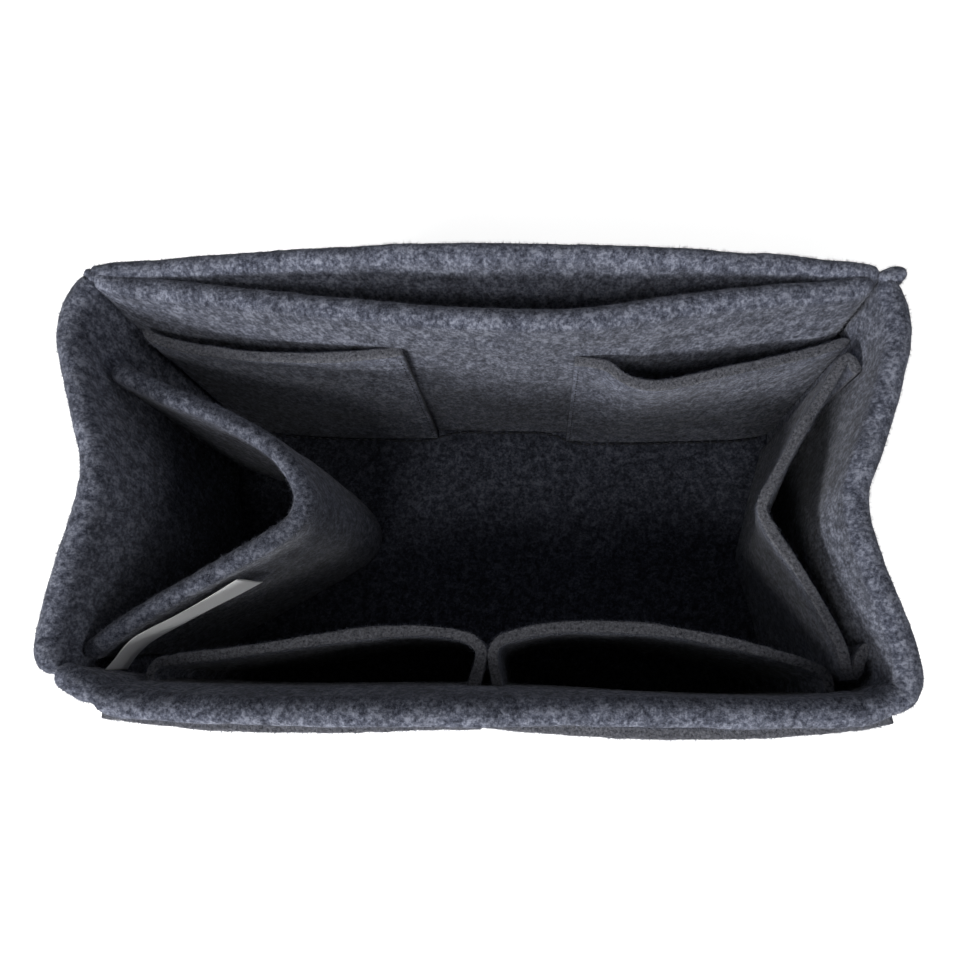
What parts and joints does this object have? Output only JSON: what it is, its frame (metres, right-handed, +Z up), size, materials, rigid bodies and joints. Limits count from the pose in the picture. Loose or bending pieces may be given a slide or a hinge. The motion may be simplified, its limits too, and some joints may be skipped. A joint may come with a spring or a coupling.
{
  "type": "purse organizer insert",
  "caption": "Soft felt box insert for a handbag: creased sides fold it flat, folded dividers and slip pockets part its inside, and a blank care label hangs on a divider.",
  "frame": {"origin": "middle of the base panel's underside, where the insert rests", "axes": "+X to the right along the long side, +Y to the rear, +Z up, at rest"},
  "size_m": [0.217, 0.1293, 0.13],
  "materials": {
    "felt_wall": "dark heather blue-grey felt, matt",
    "felt_pocket": "dark heather blue-grey felt, matt",
    "felt_divider": "dark heather blue-grey felt, matt",
    "satin_label": "white woven satin, blank"
  },
  "bodies": {
    "rear_and_base": {"rear_wall": "felt_wall", "base_panel": "felt_wall", "rear_outer_pocket": "felt_pocket", "rear_left_inner_pocket": "felt_pocket", "rear_right_inner_pocket": "felt_pocket"},
    "front": {"front_wall": "felt_wall", "front_left_outer_pocket": "felt_pocket", "front_right_outer_pocket": "felt_pocket", "front_left_inner_pocket": "felt_pocket", "front_right_inner_pocket": "felt_pocket"},
    "left_side_rear_half": {"left_side_rear_half": "felt_wall"},
    "left_side_front_half": {"left_side_front_half": "felt_wall"},
    "right_side_rear_half": {"right_side_rear_half": "felt_wall"},
    "right_side_front_half": {"right_side_front_half": "felt_wall"},
    "left_divider_rear_half": {"left_divider_rear_half": "felt_divider"},
    "left_divider_front_half": {"left_divider_front_half": "felt_divider"},
    "right_divider_rear_half": {"right_divider_rear_half": "felt_divider"},
    "right_divider_front_half": {"right_divider_front_half": "felt_divider"},
    "care_label": {"care_label": "satin_label"}
  },
  "joints": [
    {"name": "fold_flat", "type": "hinge", "parent": "rear_and_base", "child": "left_side_rear_half", "pos_m": [-0.10073, 0.04951, 0.065], "axis": [0, 0, 1], "range_deg": [0, 46]},
    {"name": "left_side_crease", "type": "hinge", "parent": "left_side_rear_half", "child": "left_side_front_half", "pos_m": [-0.102, 0, 0.065], "axis": [0, 0, 1], "range_deg": [-92, 0]},
    {"name": "front_left_corner", "type": "hinge", "parent": "left_side_front_half", "child": "front", "pos_m": [-0.10073, -0.04951, 0.065], "axis": [0, 0, 1], "range_deg": [0, 46]},
    {"name": "right_rear_corner", "type": "hinge", "parent": "rear_and_base", "child": "right_side_rear_half", "pos_m": [0.10078, 0.04952, 0.065], "axis": [0, 0, 1], "range_deg": [-42.51, 0]},
    {"name": "right_side_crease", "type": "hinge", "parent": "right_side_rear_half", "child": "right_side_front_half", "pos_m": [0.099, 0, 0.065], "axis": [0, 0, 1], "range_deg": [0, 85.01]},
    {"name": "left_divider_rear_seam", "type": "hinge", "parent": "left_side_rear_half", "child": "left_divider_rear_half", "pos_m": [-0.10039, 0.03447, 0.06], "axis": [0, 0, 1], "range_deg": [-35.91, 0]},
    {"name": "left_divider_front_seam", "type": "hinge", "parent": "left_side_front_half", "child": "left_divider_front_half", "pos_m": [-0.10039, -0.03447, 0.06], "axis": [0, 0, 1], "range_deg": [0, 35.91]},
    {"name": "right_divider_rear_seam", "type": "hinge", "parent": "right_side_rear_half", "child": "right_divider_rear_half", "pos_m": [0.0998, 0.03651, 0.057], "axis": [0, 0, 1], "range_deg": [0, 23.39]},
    {"name": "right_divider_front_seam", "type": "hinge", "parent": "right_side_front_half", "child": "right_divider_front_half", "pos_m": [0.0998, -0.03651, 0.057], "axis": [0, 0, 1], "range_deg": [-23.39, 0]},
    {"name": "label_swing", "type": "hinge", "parent": "left_divider_front_half", "child": "care_label", "pos_m": [-0.09405, -0.03844, 0.102], "axis": [0, 0, 1], "range_deg": [-4, 2]}
  ],
  "couplings": [
    {"joint": "left_side_crease", "follows": "fold_flat", "ratio": -2},
    {"joint": "front_left_corner", "follows": "fold_flat", "ratio": 1},
    {"joint": "right_rear_corner", "follows": "fold_flat", "ratio": -0.92401},
    {"joint": "right_side_crease", "follows": "fold_flat", "ratio": 1.848},
    {"joint": "left_divider_rear_seam", "follows": "fold_flat", "ratio": -0.78057},
    {"joint": "left_divider_front_seam", "follows": "fold_flat", "ratio": 0.78057},
    {"joint": "right_divider_rear_seam", "follows": "fold_flat", "ratio": 0.5085},
    {"joint": "right_divider_front_seam", "follows": "fold_flat", "ratio": -0.5085}
  ]
}
